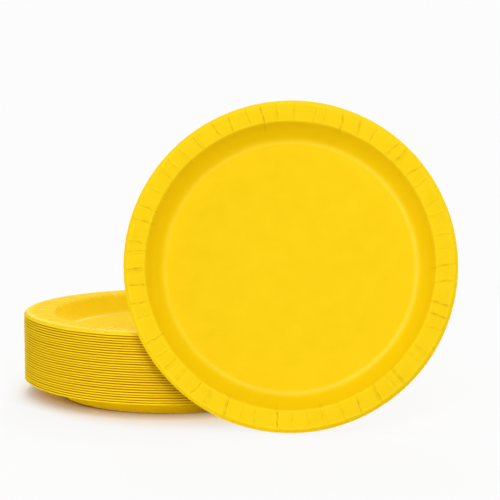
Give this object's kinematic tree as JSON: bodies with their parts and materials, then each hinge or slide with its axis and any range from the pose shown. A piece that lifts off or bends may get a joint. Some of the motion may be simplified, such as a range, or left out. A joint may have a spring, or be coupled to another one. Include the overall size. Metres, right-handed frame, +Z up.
{
  "type": "stack of paper plates",
  "caption": "Nested stack of round pressed paperboard plates with pleated rims, and one more of the same plates standing on its lip and leaning back on the stack.",
  "frame": {"origin": "centre of the stack's flat underside, on the surface that it stands on", "axes": "+Z up through the stack; -Y to the front, where the leaning plate stands; +X to the side that it is offset to"},
  "size_m": [0.3137, 0.2616, 0.2231],
  "materials": {
    "paperboard": "satin coated"
  },
  "bodies": {
    "root": {"plate_01": "paperboard", "plate_02": "paperboard", "plate_03": "paperboard", "plate_04": "paperboard", "plate_05": "paperboard", "plate_06": "paperboard", "plate_07": "paperboard", "plate_08": "paperboard", "plate_09": "paperboard", "plate_10": "paperboard", "plate_11": "paperboard", "plate_12": "paperboard", "plate_13": "paperboard", "plate_14": "paperboard", "plate_15": "paperboard", "plate_16": "paperboard", "plate_17": "paperboard", "plate_18": "paperboard", "plate_19": "paperboard", "plate_20": "paperboard", "plate_21": "paperboard", "plate_22": "paperboard", "plate_23": "paperboard", "plate_24": "paperboard", "plate_25": "paperboard", "plate_26": "paperboard", "plate_27": "paperboard", "plate_28": "paperboard", "leaning_plate": "paperboard"}
  },
  "joints": []
}
